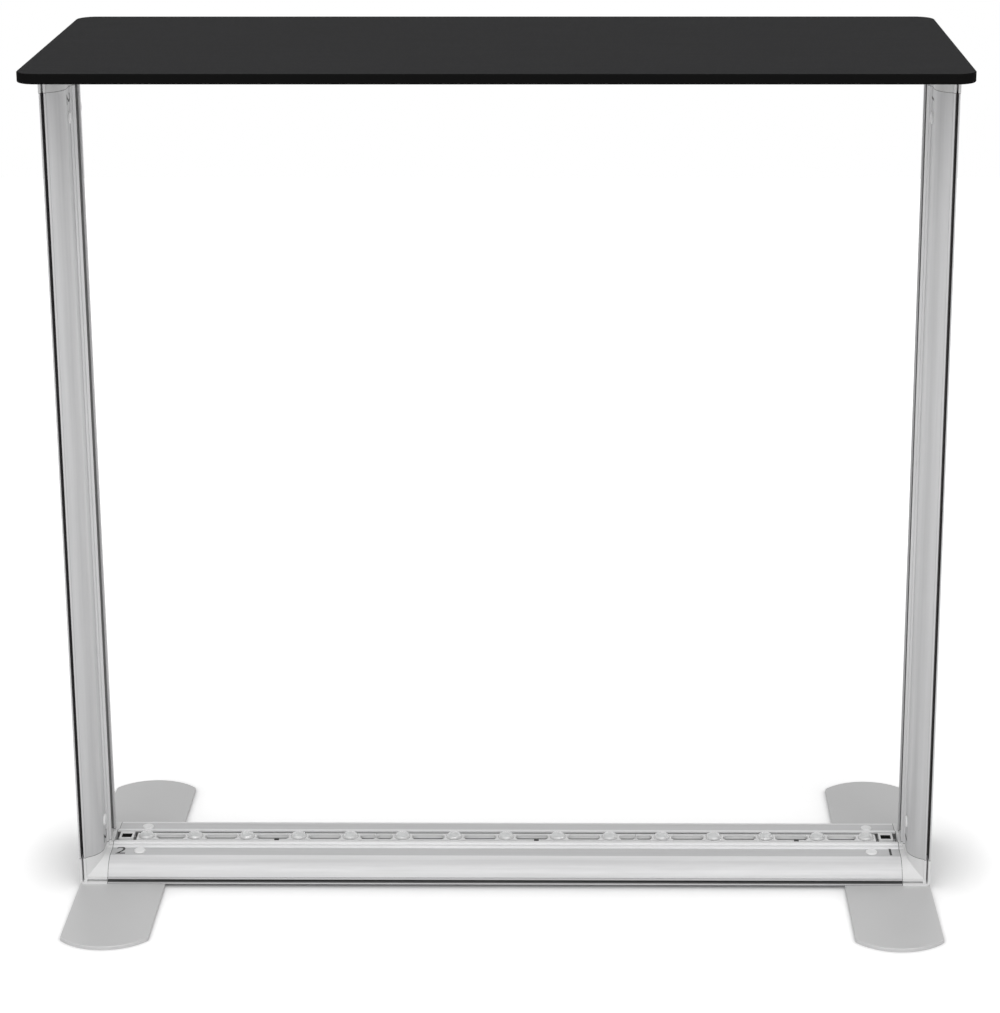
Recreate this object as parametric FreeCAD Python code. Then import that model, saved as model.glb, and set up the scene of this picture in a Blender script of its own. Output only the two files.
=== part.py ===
import FreeCAD, Part
import math
import os

# Illuminated counter on a snap-together fabric frame, millimetres.
# X runs across the counter, the front faces -Y, Z is up, and the origin is on the floor
# under the middle of the frame.

V = FreeCAD.Vector

# whole counter
frame_width = 1000.0
frame_height = 973.0
frame_depth = 140.0
foot_thickness = 4.0
overrun = 5.0

# countertop board
top_depth = 400.0
top_thickness = 11.0
top_corner_radius = 22.0
top_arris = 0.7

# extrusion section: depth is counted from the front face, rise from the outer face
skin = 1.6
lip = 1.6
groove_width = 3.2
groove_reach = 16.0
inner_lip = 2.2
inner_lip_setback = 2.0
notch_reach = 3.8
slope_middle_depth = 10.4
slope_middle_rise = 17.2
band_depth = 26.5
band_rise = 24.8
hill_depth = 46.5
step_count = 2
step_rise = 2.2
step_tread = 4.7
step_lean = 0.6
channel_width = 25.8
channel_lip = 2.0
channel_undercut = 1.6
channel_floor_rise = 19.5
slope_chamber_low_depth = 6.8
slope_chamber_high_rise = 18.9
arm_chamber_shoulder_depth = 8.4
arm_chamber_shoulder_drop = 3.2
arm_chamber_back_depth = 47.6

# moulded corners and their arms
corner_leg = 32.0
corner_proud = 0.6
corner_round = 5.0
corner_groove = 2.0
corner_stop = 3.6
corner_recess_width = 22.0
corner_recess_sink = 1.2
arm_fit = 0.2
arm_end = 86.0
arm_wall = 2.0
arm_root = 6.0
arm_lead = 3.0

# snap buttons
button_from_end = 65.8
button_depth = 37.0
button_diameter = 13.6
button_hole_clearance = 0.3
button_stands_out = 1.6
button_edge_round = 0.9
button_flange_diameter = 16.0
button_flange_thickness = 2.0
button_pocket_lead = 12.0
spring_width = 7.0
spring_sheet = 0.7
spring_half_length = 8.5
spring_crest_length = 3.0
spring_crest_droop = 0.4

# light bars in the bottom rail
bar_count = 3
lenses_per_bar_count = 5
end_lens_inset = 11.4
end_lens_closer = 4.1
bar_gap = 0.4
light_end_from_end = 58.0
board_width = 18.2
board_thickness = 1.6
chip_size = 5.0
chip_height = 1.0
carrier_width = 18.2
carrier_rise = 28.2
carrier_plate = 2.0
carrier_skirt = 1.4
carrier_window_end = 11.5
carrier_window_width = 13.4
carrier_window_chamfer = 3.0
seat_width = 24.4
seat_low_radius = 15.0
seat_high_radius = 9.9
seat_height = 4.6
lens_hole_diameter = 14.0
lens_diameter = 19.2
lens_rim = 2.4
lens_dome = 3.0
lens_shoulder_share = 0.62
lens_shoulder_rise_share = 0.66
clip_width = 5.6
clip_sheet = 0.8
clip_leg = 4.0
clip_before_window_end = 14.1

# power inlets at both ends of the light bars
inlet_from_end = 46.0
inlet_length = 17.0
inlet_width = 18.8
inlet_rise = 30.2
inlet_side_wall = 2.5
inlet_front_wall = 2.2
inlet_back_wall = 6.0
inlet_floor = 2.0
inlet_corner_round = 1.2
inlet_core_height = 2.6
inlet_pin_diameter = 1.4
inlet_pin_height = 2.0
inlet_pin_spacing = 5.0
lead_width = 8.0
lead_rise = 27.0

# feet and what holds them
foot_width = 100.0
foot_length = 454.0
foot_straight = 408.0
foot_corner_radius = 7.0
foot_arris = 0.5
foot_from_end = 50.0
foot_bore_clearance = 0.05
bolt_diameter = 8.0
bolt_head_diameter = 21.4
bolt_head_thickness = 1.8
bolt_recess = 2.2
bolt_recess_clearance = 0.9
bolt_hole_clearance = 0.3
bolt_key_across = 5.0
bolt_key_depth = 1.0
bolt_past_nut = 2.0
spacer_diameter = 24.0
nut_across = 13.0
nut_height = 6.5
nut_clearance = 0.22
washer_diameter = 16.0
washer_thickness = 1.6

# thumb screws that hold the countertop
screw_pitch = 350.0
screw_count = 3
screw_diameter = 6.0
screw_hole_clearance = 0.3
screw_head_diameter = 16.0
screw_head_height = 6.0
screw_head_edge = 1.0
insert_diameter = 10.0
insert_length = 8.0
insert_flange_diameter = 15.0
insert_flange_thickness = 0.6

# flats round the small turned pieces and holes
round_side_count = 10
small_side_count = 8
seat_side_count = 8
pin_side_count = 6
hexagon_side_count = 6

# worked out from the sizes above
top_length = frame_width
half_width = frame_width / 2
half_depth = frame_depth / 2
frame_low = foot_thickness
frame_high = foot_thickness + frame_height
frame_middle = (frame_low + frame_high) / 2
rail_length = frame_width - 2 * corner_leg
post_length = frame_height - 2 * corner_leg
hill_rise = band_rise + step_count * step_rise
mouth_depth = half_depth - channel_width / 2
arm_low = skin + arm_fit
arm_high = band_rise - skin - arm_fit
flange_low = arm_high - arm_wall - button_flange_thickness
inlet_centre = half_width - inlet_from_end
light_span_end = half_width - light_end_from_end
lens_count = bar_count * lenses_per_bar_count
lens_gap_count = (lens_count - 1) / 2
end_lens = light_span_end - end_lens_inset
lens_pitch = (end_lens + end_lens_closer) / lens_gap_count


def outline_edges(start, moves):
    """Edges of a closed outline in the depth and rise plane. A move with two points is an arc."""
    edges = []
    here = start
    for move in moves:
        there = move[-1]
        if len(move) == 2:
            edges.append(Part.Arc(at(here), at(move[0]), at(there)).toShape())
        else:
            edges.append(Part.LineSegment(at(here), at(there)).toShape())
        here = there
    return edges


def at(point):
    """A point of the section, standing across the rail."""
    depth, rise = point
    return V(0, depth - half_depth, rise)


def mirrored(start, moves):
    """The front half of an outline followed by its mirror image at the back."""
    back = []
    ends = [start] + [move[-1] for move in moves]
    for index in range(len(moves) - 1, -1, -1):
        goal = (frame_depth - ends[index][0], ends[index][1])
        if len(moves[index]) == 2:
            middle = moves[index][0]
            back.append(((frame_depth - middle[0], middle[1]), goal))
        else:
            back.append((goal,))
    first_back = (frame_depth - ends[-1][0], ends[-1][1])
    return moves + [(first_back,)] + back


def face_of(start, moves):
    return Part.Face(Part.Wire(outline_edges(start, moves)))


def front_outline(outer_rise, groove):
    """From the middle of the outer face round the front to the foot of the hill's last tread."""
    groove_low = lip + (groove_width - groove) / 2
    groove_high = groove_low + groove
    slope_rise = lip + groove_width + inner_lip
    moves = [
        ((0, outer_rise),),
        ((0, groove_low),),
        ((groove_reach, groove_low),),
        ((groove_reach, groove_high),),
        ((inner_lip_setback, groove_high),),
        ((inner_lip_setback, slope_rise),),
        ((notch_reach, slope_rise),),
        ((slope_middle_depth, slope_middle_rise), (band_depth, band_rise)),
        ((hill_depth, band_rise),),
    ]
    depth = hill_depth
    rise = band_rise
    for step in range(step_count):
        rise = rise + step_rise
        moves.append(((depth + step_lean, rise),))
        depth = depth + step_lean + step_tread
        moves.append(((depth, rise),))
    moves.pop()
    return moves


def section_with_channel():
    """The full aluminium section with its chambers and its light channel."""
    inside = mouth_depth - channel_undercut
    moves = front_outline(0, groove_width)
    moves += [
        ((mouth_depth, hill_rise),),
        ((mouth_depth, hill_rise - channel_lip),),
        ((inside, hill_rise - channel_lip),),
        ((inside, channel_floor_rise),),
    ]
    start = (half_depth, 0)
    face = face_of(start, mirrored(start, moves))
    for hole in slope_chambers() + arm_chambers() + [middle_chamber()]:
        face = face.cut(hole)
    return face


def both_sides(start, moves):
    """A chamber near the front face and its twin near the back face."""
    front = face_of(start, moves + [(start,)])
    return [front, front.mirror(V(0, 0, 0), V(0, 1, 0))]


def slope_chambers():
    floor = lip + groove_width + skin
    start = (slope_chamber_low_depth, floor)
    return both_sides(start, [((groove_reach, floor),), ((groove_reach, slope_chamber_high_rise),)])


def arm_chamber_points(inset):
    """Corners of the chamber that takes a corner's arm, drawn in by a clearance."""
    front = groove_reach + skin + inset
    back = arm_chamber_back_depth - inset
    low = skin + inset
    high = band_rise - skin - inset
    return [
        (front, low),
        (back, low),
        (back, high),
        (front + arm_chamber_shoulder_depth, high),
        (front, high - arm_chamber_shoulder_drop),
    ]


def arm_chambers():
    points = arm_chamber_points(0)
    return both_sides(points[0], [(point,) for point in points[1:]])


def middle_chamber():
    wall = arm_chamber_back_depth + skin
    inside = mouth_depth - channel_undercut - skin
    low_roof = channel_floor_rise - skin
    high_roof = band_rise - skin
    start = (half_depth, skin)
    moves = [
        ((wall, skin),),
        ((wall, high_roof),),
        ((inside, high_roof),),
        ((inside, low_roof),),
    ]
    return face_of(start, mirrored(start, moves))


def rod(radius, start, direction, length):
    return Part.makeCylinder(radius, length, start, direction)


def block(low, high):
    """A box between two corners, each a tuple of x, y and z."""
    size = [b - a for a, b in zip(low, high)]
    return Part.makeBox(size[0], size[1], size[2], V(*low))


def ring_points(radius, height, sides):
    """Corners of a regular outline about the vertical axis."""
    turn = 2 * math.pi / sides
    return [V(radius * math.cos(turn * i), radius * math.sin(turn * i), height) for i in range(sides)]


def flat_face(points):
    return Part.Face(Part.makePolygon(points + points[:1]))


def turned(profile, centre, sides):
    """A round piece with flats: rings of faces between the radius and height pairs of a profile."""
    faces = []
    for (radius, low), (next_radius, high) in zip(profile, profile[1:] + profile[:1]):
        here = ring_points(radius, low, sides)
        there = ring_points(next_radius, high, sides)
        if low == high and 0 in (radius, next_radius):
            if radius != next_radius:
                faces.append(flat_face(there if radius == 0 else here))
        elif low == high:
            outer, inner = (here, there) if radius > next_radius else (there, here)
            faces.append(flat_face(outer).cut(flat_face(inner)).Faces[0])
        elif radius or next_radius:
            for i in range(sides):
                j = (i + 1) % sides
                corners = [here[i], here[j]] if radius else [here[i]]
                corners += [there[j], there[i]] if next_radius else [there[i]]
                faces.append(flat_face(corners))
    shell = Part.makeShell(faces)
    shell.sewShape()
    solid = Part.makeSolid(shell)
    if solid.Volume < 0:
        solid.reverse()
    solid.translate(V(*centre))
    return solid


def drill(radius, foot, high, sides):
    """An upright cutter with flats, from a foot point up to a height."""
    profile = [(0, 0), (radius, 0), (radius, high - foot[-1]), (0, high - foot[-1])]
    return turned(profile, foot, sides)


def plate_from(corners, thickness, low):
    """A flat plate of a closed outline of x and y points."""
    wire = Part.makePolygon([V(x, y, low) for x, y in corners + corners[:1]])
    return Part.Face(wire).extrude(V(0, 0, thickness))


def swap_legs(shape):
    """Turns what belongs to a corner's rail leg into what belongs to its post leg."""
    return shape.mirror(V(0, 0, 0), V(1, 0, -1))


def to_left(shape):
    return shape.mirror(V(0, 0, 0), V(1, 0, 0))


def to_back(shape):
    return shape.mirror(V(0, 0, 0), V(0, 1, 0))


def to_top(shape):
    return shape.mirror(V(0, 0, frame_middle), V(0, 0, 1))


def band_holes(length):
    """Cutters for the four button holes of a rail that starts at its corner seam."""
    radius = button_diameter / 2 + button_hole_clearance
    near = button_from_end - corner_leg
    cutters = []
    for along in (near, length - near):
        for side in (-1, 1):
            y = side * (half_depth - button_depth)
            foot = (along, y, arm_high - arm_wall)
            cutters.append(drill(radius, foot, band_rise + overrun, round_side_count))
    return cutters


def extrusion(length):
    """A rail lying along +X from zero, outer face down, with its button holes."""
    solid = section_with_channel().extrude(V(length, 0, 0))
    for cutter in band_holes(length):
        solid = solid.cut(cutter)
    return solid


def bottom_rail():
    solid = extrusion(rail_length)
    solid.translate(V(corner_leg - half_width, 0, frame_low + corner_proud))
    radius = bolt_diameter / 2 + bolt_hole_clearance
    for side in (-1, 1):
        foot = (side * (half_width - foot_from_end), 0, frame_low)
        solid = solid.cut(drill(radius, foot, rail_level(skin) + overrun, round_side_count))
    return solid


def top_rail():
    solid = extrusion(rail_length)
    solid.translate(V(corner_leg - half_width, 0, frame_low + corner_proud))
    solid = to_top(solid)
    radius = screw_diameter / 2 + screw_hole_clearance
    low = frame_high - corner_proud - channel_floor_rise - overrun
    for x in screw_places():
        solid = solid.cut(drill(radius, (x, 0, low), frame_high, small_side_count))
    return solid


def right_post():
    solid = extrusion(post_length)
    solid.rotate(V(0, 0, 0), V(0, 1, 0), -math.degrees(math.pi / 2))
    solid.translate(V(half_width - corner_proud, 0, frame_low + corner_leg))
    return solid


def corner_half():
    """One leg of a corner, mitred against the other, from the outer corner at the origin."""
    start = (half_depth, -corner_proud)
    recess = half_depth - corner_recess_width / 2
    moves = front_outline(-corner_proud, corner_groove)
    moves += [
        ((recess, hill_rise),),
        ((recess + corner_recess_sink, hill_rise - corner_recess_sink),),
    ]
    solid = face_of(start, mirrored(start, moves)).extrude(V(corner_leg, 0, 0))
    solid.translate(V(0, 0, corner_proud))
    wedge = Part.makePolygon([V(0, 0, 0), V(corner_leg, 0, 0), V(corner_leg, 0, corner_leg), V(0, 0, 0)])
    wedge = Part.Face(wedge).extrude(V(0, frame_depth + 2 * overrun, 0))
    wedge.translate(V(0, -half_depth - overrun, 0))
    solid = solid.common(wedge)
    cap = Part.makeCylinder(corner_round, frame_depth + 2 * overrun,
                            V(corner_round, -half_depth - overrun, corner_round), V(0, 1, 0))
    corner_box = block((0, -half_depth - overrun, 0), (corner_round, half_depth + overrun, corner_round))
    return solid.cut(corner_box.cut(cap))


def arm():
    """The front arm of a corner's rail leg: a hollow tongue, open at its tip."""
    points = arm_chamber_points(arm_fit)
    face = face_of(points[0], [(point,) for point in points[1:] + points[:1]])
    solid = face.extrude(V(arm_end - corner_leg + arm_root, 0, 0))
    solid.translate(V(corner_leg - arm_root, 0, corner_proud))
    inside_front = groove_reach + skin + arm_fit + arm_chamber_shoulder_depth - half_depth
    inside_back = arm_chamber_back_depth - arm_fit - arm_wall - half_depth
    start = button_from_end - button_pocket_lead
    low = corner_proud + arm_low + arm_wall
    high = corner_proud + arm_high - arm_wall
    solid = solid.cut(block((start, inside_front, low), (arm_end + overrun, inside_back, high)))
    hole = (button_from_end, button_depth - half_depth, low)
    solid = solid.cut(drill(button_diameter / 2 + button_hole_clearance, hole, band_rise, round_side_count))
    tip = [
        (arm_end - arm_lead, corner_proud),
        (arm_end, corner_proud),
        (arm_end, corner_proud + arm_low + arm_lead),
    ]
    wedge = Part.makePolygon([V(x, -half_depth, z) for x, z in tip + tip[:1]])
    return solid.cut(Part.Face(wedge).extrude(V(0, half_depth, 0)))


def corner():
    """A moulded corner with two legs and four arms, outer corner at the origin."""
    leg = corner_half()
    front = arm()
    leg = leg.fuse([front, to_back(front)])
    start = lip + (groove_width + corner_groove) / 2 + corner_proud
    stop = block((start, -half_depth, corner_proud), (start + corner_stop, groove_reach - half_depth, start))
    return leg.fuse([swap_legs(leg), stop, to_back(stop)]).removeSplitter()


def button():
    """A snap button of the front arm in a corner's rail leg."""
    top = corner_proud + band_rise + button_stands_out
    low = corner_proud + flange_low
    flange_top = low + button_flange_thickness
    radius = button_diameter / 2
    profile = [
        (0, low),
        (button_flange_diameter / 2, low),
        (button_flange_diameter / 2, flange_top),
        (radius, flange_top),
        (radius, top - button_edge_round),
        (radius - button_edge_round, top),
        (0, top),
    ]
    return turned(profile, (button_from_end, button_depth - half_depth, 0), round_side_count)


def button_spring():
    """A folded leaf spring that stands under a button."""
    low = corner_proud + arm_low + arm_wall
    height = flange_low - arm_low - arm_wall
    half = spring_half_length
    sheet = spring_sheet
    crest = spring_crest_length
    outline = [
        (-half, 0), (half, 0), (half, sheet), (2 * sheet - half, sheet), (0, height - sheet),
        (crest, height - sheet - spring_crest_droop), (crest, height - spring_crest_droop),
        (0, height), (-half, 2 * sheet),
    ]
    y = button_depth - half_depth - spring_width / 2
    wire = Part.makePolygon([V(button_from_end + x, y, low + z) for x, z in outline + outline[:1]])
    return Part.Face(wire).extrude(V(0, spring_width, 0))


def in_corner(shape, right, top):
    """Moves a corner's piece from the origin to one of the four corners of the frame."""
    moved = shape.copy()
    moved.translate(V(-half_width, 0, frame_low))
    if right:
        moved = to_left(moved)
    if top:
        moved = to_top(moved)
    return moved


def corner_nodes():
    """The four corners, their sixteen snap buttons and the springs behind them."""
    nodes = {}
    plain = corner()
    front_button = button()
    front_spring = button_spring()
    legs = {"rail": lambda shape: shape, "post": swap_legs}
    sides = {"front": lambda shape: shape, "back": to_back}
    for level in ("bottom", "top"):
        for hand in ("left", "right"):
            place = level + "_" + hand
            right = hand == "right"
            top = level == "top"
            nodes["corner_" + place] = in_corner(plain, right, top)
            springs = []
            for leg, to_leg in legs.items():
                for side, to_side in sides.items():
                    name = "_".join(["button", place, leg, side])
                    nodes[name] = in_corner(to_leg(to_side(front_button)), right, top)
                    springs.append(in_corner(to_leg(to_side(front_spring)), right, top))
            nodes["button_springs_" + place] = Part.Compound(springs)
    return nodes


def countertop():
    outline = Part.makeBox(top_length, top_depth, top_thickness,
                           V(-top_length / 2, -top_depth / 2, frame_high))
    upright = [edge for edge in outline.Edges if abs(edge.Length - top_thickness) < edge.Length / 100
               and abs(edge.Vertexes[0].X - edge.Vertexes[1].X) < top_arris
               and abs(edge.Vertexes[0].Y - edge.Vertexes[1].Y) < top_arris]
    board = outline.makeFillet(top_corner_radius, upright)
    rim = [edge for edge in board.Edges
           if abs(edge.BoundBox.ZMax - edge.BoundBox.ZMin) < top_arris]
    board = board.makeChamfer(top_arris, rim)
    for x in screw_places():
        hole_end = frame_high + insert_length
        board = board.cut(drill(insert_diameter / 2, (x, 0, frame_high), hole_end, small_side_count))
    return board


def screw_places():
    middle = (screw_count - 1) / 2
    return [(index - middle) * screw_pitch for index in range(screw_count)]


def counter_inserts():
    """Flanged threaded sleeves pressed into the underside of the countertop."""
    sleeves = []
    for x in screw_places():
        bore = screw_diameter / 2
        low = frame_high - insert_flange_thickness
        profile = [
            (bore, low), (insert_flange_diameter / 2, low), (insert_flange_diameter / 2, frame_high),
            (insert_diameter / 2, frame_high), (insert_diameter / 2, frame_high + insert_length),
            (bore, frame_high + insert_length),
        ]
        sleeves.append(turned(profile, (x, 0, 0), small_side_count))
    return Part.Compound(sleeves)


def counter_screws():
    """Thumb screws that stand in the top rail's channel and pull the countertop down."""
    screws = []
    seat = frame_high - corner_proud - channel_floor_rise
    tip = frame_high + insert_length
    shank = screw_diameter / 2
    head = screw_head_diameter / 2
    low = seat - screw_head_height
    for x in screw_places():
        profile = [
            (0, low), (head - screw_head_edge, low), (head, low + screw_head_edge), (head, seat),
            (shank, seat), (shank, tip), (0, tip),
        ]
        screws.append(turned(profile, (x, 0, 0), small_side_count))
    return Part.Compound(screws)


def rail_level(rise):
    """Height above the floor of a rise in the bottom rail's section."""
    return frame_low + corner_proud + rise


def lens_places(bar):
    """Where the lenses of one bar stand. The first and the last of the row are a little closer."""
    first = bar * lenses_per_bar_count
    places = []
    for index in range(first, first + lenses_per_bar_count):
        place = (index - lens_gap_count) * lens_pitch
        places.append(max(-end_lens, min(end_lens, place)))
    return places


def bar_ends(bar):
    places = lens_places(bar)
    left = max(places[0] - lens_pitch / 2 + bar_gap / 2, -light_span_end)
    right = min(places[-1] + lens_pitch / 2 - bar_gap / 2, light_span_end)
    return left, right


def light_board(bar):
    left, right = bar_ends(bar)
    low = rail_level(channel_floor_rise)
    return block((left, -board_width / 2, low), (right, board_width / 2, low + board_thickness))


def light_chips(bar):
    low = rail_level(channel_floor_rise) + board_thickness
    half = chip_size / 2
    chips = []
    for x in lens_places(bar):
        chips.append(block((x - half, -half, low), (x + half, half, low + chip_height)))
    return Part.Compound(chips)


def carrier_window(left, right):
    half = carrier_window_width / 2
    chamfer = carrier_window_chamfer
    corners = [
        (left, chamfer - half), (left + chamfer, -half), (right - chamfer, -half), (right, chamfer - half),
        (right, half - chamfer), (right - chamfer, half), (left + chamfer, half), (left, half - chamfer),
    ]
    low = rail_level(carrier_rise) - carrier_plate - overrun
    return plate_from(corners, carrier_plate + 2 * overrun, low)


def lens_seat(x, left, right):
    """A pyramid with its corners cut off, under a lens, cut flat where it passes the channel's lips."""
    high = rail_level(carrier_rise)
    low = high - seat_height
    profile = [(0, low), (seat_low_radius, low), (seat_high_radius, high), (0, high)]
    pyramid = turned(profile, (x, 0, 0), seat_side_count)
    half = seat_width / 2
    return pyramid.common(block((left, -half, low), (right, half, high)))


def lens_carrier(bar):
    """White strip over a board: a plate on two skirts with seats for lenses and windows between."""
    left, right = bar_ends(bar)
    low = rail_level(channel_floor_rise) + board_thickness
    high = rail_level(carrier_rise)
    half = carrier_width / 2
    strip = block((left, -half, low), (right, half, high))
    inner = half - carrier_skirt
    under = high - carrier_plate
    strip = strip.cut(block((left - overrun, -inner, low - overrun), (right + overrun, inner, under)))
    places = lens_places(bar)
    for near, far in zip(places, places[1:]):
        strip = strip.cut(carrier_window(near + carrier_window_end, far - carrier_window_end))
    if bar > 0:
        strip = strip.cut(carrier_window(left + bar_gap, places[0] - carrier_window_end))
    if bar < bar_count - 1:
        strip = strip.cut(carrier_window(places[-1] + carrier_window_end, right - bar_gap))
    strip = strip.fuse([lens_seat(x, left, right) for x in places])
    for x in places:
        strip = strip.cut(drill(lens_hole_diameter / 2, (x, 0, low), high + overrun, seat_side_count))
    return strip


def lenses(bar):
    """Clear domes, each with a rim that stands on the carrier."""
    low = rail_level(carrier_rise)
    radius = lens_diameter / 2
    rim = low + lens_rim
    shoulder = (radius * lens_shoulder_share, rim + lens_dome * lens_shoulder_rise_share)
    profile = [(0, low), (radius, low), (radius, rim), shoulder, (0, rim + lens_dome)]
    return Part.Compound([turned(profile, (x, 0, 0), round_side_count) for x in lens_places(bar)])


def bar_clips():
    """Black clips, each bent over the front rim of a carrier."""
    clips = []
    front = -carrier_width / 2
    inside = -carrier_window_width / 2
    high = rail_level(carrier_rise)
    for bar in range(bar_count):
        next_lens = lens_places(bar)[lenses_per_bar_count // 2 + 1]
        x = next_lens - carrier_window_end - clip_before_window_end
        left, right = x - clip_width / 2, x + clip_width / 2
        outer_leg = block((left, front - clip_sheet, high - clip_leg), (right, front, high))
        inner_leg = block((left, inside, high - clip_leg), (right, inside + clip_sheet, high))
        cap = block((left, front - clip_sheet, high), (right, inside + clip_sheet, high + clip_sheet))
        clips.append(cap.fuse([outer_leg, inner_leg]).removeSplitter())
    return Part.Compound(clips)


def inlet_cavity(low, high):
    """The hollow of the left inlet between two levels."""
    left = inlet_side_wall - inlet_centre - inlet_length / 2
    right = inlet_length / 2 - inlet_centre - inlet_side_wall
    front = inlet_front_wall - inlet_width / 2
    back = inlet_width / 2 - inlet_back_wall
    return block((left, front, low), (right, back, high))


def inlet_housing():
    low = rail_level(channel_floor_rise)
    high = rail_level(inlet_rise)
    half_length = inlet_length / 2
    half = inlet_width / 2
    shell = block((-inlet_centre - half_length, -half, low), (half_length - inlet_centre, half, high))
    upright = [edge for edge in shell.Edges if edge.BoundBox.ZMax - edge.BoundBox.ZMin > inlet_floor]
    shell = shell.makeFillet(inlet_corner_round, upright)
    return shell.cut(inlet_cavity(low + inlet_floor, high + overrun))


def inlet_core():
    """Black contact carrier at the bottom of the inlet's cavity."""
    low = rail_level(channel_floor_rise) + inlet_floor
    return inlet_cavity(low, low + inlet_core_height)


def inlet_pins():
    pins = []
    low = rail_level(channel_floor_rise) + inlet_floor + inlet_core_height
    high = low + inlet_pin_height
    radius = inlet_pin_diameter / 2
    profile = [(0, low), (radius, low), (radius, high), (0, high)]
    y = (inlet_front_wall - inlet_back_wall) / 2
    for step in (-1, 1):
        for side in (-1, 1):
            x = side * (step * inlet_pin_spacing / 2 - inlet_centre)
            pins.append(turned(profile, (x, y, 0), pin_side_count))
    return Part.Compound(pins)


def inlet_leads():
    """Black links from each inlet to the board beside it."""
    low = rail_level(channel_floor_rise)
    left = inlet_length / 2 - inlet_centre
    lead = block((left, -lead_width, low), (-light_span_end, 0, rail_level(lead_rise)))
    return Part.Compound([lead, to_left(lead)])


def foot():
    """The left foot: a flat plate with bowed ends and a stepped hole for its bolt."""
    half = foot_width / 2
    straight = foot_straight / 2
    tip = foot_length / 2
    low = 0
    edges = [
        Part.LineSegment(V(-half, -straight, low), V(-half, straight, low)).toShape(),
        Part.Arc(V(-half, straight, low), V(0, tip, low), V(half, straight, low)).toShape(),
        Part.LineSegment(V(half, straight, low), V(half, -straight, low)).toShape(),
        Part.Arc(V(half, -straight, low), V(0, -tip, low), V(-half, -straight, low)).toShape(),
    ]
    plate = Part.Face(Part.Wire(edges)).extrude(V(0, 0, foot_thickness))
    upright = [edge for edge in plate.Edges
               if abs(edge.Vertexes[0].Z - edge.Vertexes[-1].Z) > foot_thickness / 2]
    plate = plate.makeFillet(foot_corner_radius, upright)
    rim = [edge for edge in plate.Edges if edge.BoundBox.ZMin > foot_thickness / 2]
    plate = plate.makeChamfer(foot_arris, rim)
    shank = bolt_diameter / 2 + foot_bore_clearance
    plate = plate.cut(rod(shank, V(0, 0, -overrun), V(0, 0, 1), foot_thickness + 2 * overrun))
    recess = bolt_head_diameter / 2 + bolt_recess_clearance
    plate = plate.cut(drill(recess, (0, 0, 0), bolt_recess, round_side_count))
    plate.translate(V(foot_from_end - half_width, 0, 0))
    return plate


def hexagon(across, x, low, height):
    radius = across / 2 / math.cos(math.pi / hexagon_side_count)
    high = low + height
    return turned([(0, low), (radius, low), (radius, high), (0, high)], (x, 0, 0), hexagon_side_count)


def foot_bolt():
    """Flat-headed bolt on which the left foot turns."""
    x = foot_from_end - half_width
    seat = bolt_recess
    end = rail_level(skin) + washer_thickness + nut_height + bolt_past_nut
    head_low = seat - bolt_head_thickness
    radius = bolt_head_diameter / 2
    profile = [(0, head_low), (radius, head_low), (radius, seat), (0, seat)]
    bolt = turned(profile, (x, 0, 0), round_side_count)
    bolt = bolt.fuse(rod(bolt_diameter / 2, V(x, 0, seat), V(0, 0, 1), end - seat))
    return bolt.cut(hexagon(bolt_key_across, x, head_low, bolt_key_depth))


def ring(outer, x, low, height):
    """A flat ring with clearance round the foot's bolt."""
    inner = bolt_diameter / 2 + bolt_hole_clearance
    high = low + height
    profile = [(inner, low), (outer / 2, low), (outer / 2, high), (inner, high)]
    return turned(profile, (x, 0, 0), round_side_count)


def foot_fastenings():
    """For each foot: a thin spacer under the rail, and a washer and nut inside it."""
    pieces = []
    x = foot_from_end - half_width
    low = rail_level(skin)
    spacer = ring(spacer_diameter, x, frame_low, corner_proud)
    washer = ring(washer_diameter, x, low, washer_thickness)
    nut = hexagon(nut_across, x, low + washer_thickness, nut_height)
    bore = bolt_diameter / 2 + nut_clearance
    nut = nut.cut(drill(bore, (x, 0, low), low + nut_height + overrun, round_side_count))
    for piece in (spacer, washer, nut):
        pieces += [piece, to_left(piece)]
    return Part.Compound(pieces)


def light_nodes():
    """The light bars, their lenses, and the power inlets at both ends."""
    nodes = {}
    for bar in range(bar_count):
        number = str(bar + 1)
        nodes["light_board_" + number] = light_board(bar)
        nodes["light_chips_" + number] = light_chips(bar)
        nodes["lens_carrier_" + number] = lens_carrier(bar)
        nodes["lenses_" + number] = lenses(bar)
    nodes["bar_clips"] = bar_clips()
    nodes["inlet_housing_left"] = inlet_housing()
    nodes["inlet_housing_right"] = to_left(inlet_housing())
    nodes["inlet_core_left"] = inlet_core()
    nodes["inlet_core_right"] = to_left(inlet_core())
    nodes["inlet_pins"] = inlet_pins()
    nodes["inlet_leads"] = inlet_leads()
    return nodes


def all_nodes():
    post = right_post()
    nodes = {
        "countertop": countertop(),
        "counter_inserts": counter_inserts(),
        "counter_screws": counter_screws(),
        "top_rail": top_rail(),
        "bottom_rail": bottom_rail(),
        "right_post": post,
        "left_post": to_left(post),
        "foot_left": foot(),
        "foot_right": to_left(foot()),
        "foot_bolt_left": foot_bolt(),
        "foot_bolt_right": to_left(foot_bolt()),
        "foot_fastenings": foot_fastenings(),
    }
    nodes.update(corner_nodes())
    nodes.update(light_nodes())
    return nodes


def write_nodes():
    os.makedirs("parts", exist_ok=True)
    for name, shape in all_nodes().items():
        solids = shape.Solids
        sound = shape.isValid() and all(solid.Volume > 0 for solid in solids)
        print(name, "solids", len(solids), "volume", round(shape.Volume), "sound", sound)
        shape.exportStep(os.path.join("parts", name + ".step"))


write_nodes()
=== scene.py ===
import math
from typing import NamedTuple

import bmesh
import bpy
from bpy.props import FloatProperty, FloatVectorProperty, PointerProperty
from mathutils import Matrix, Vector


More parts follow.
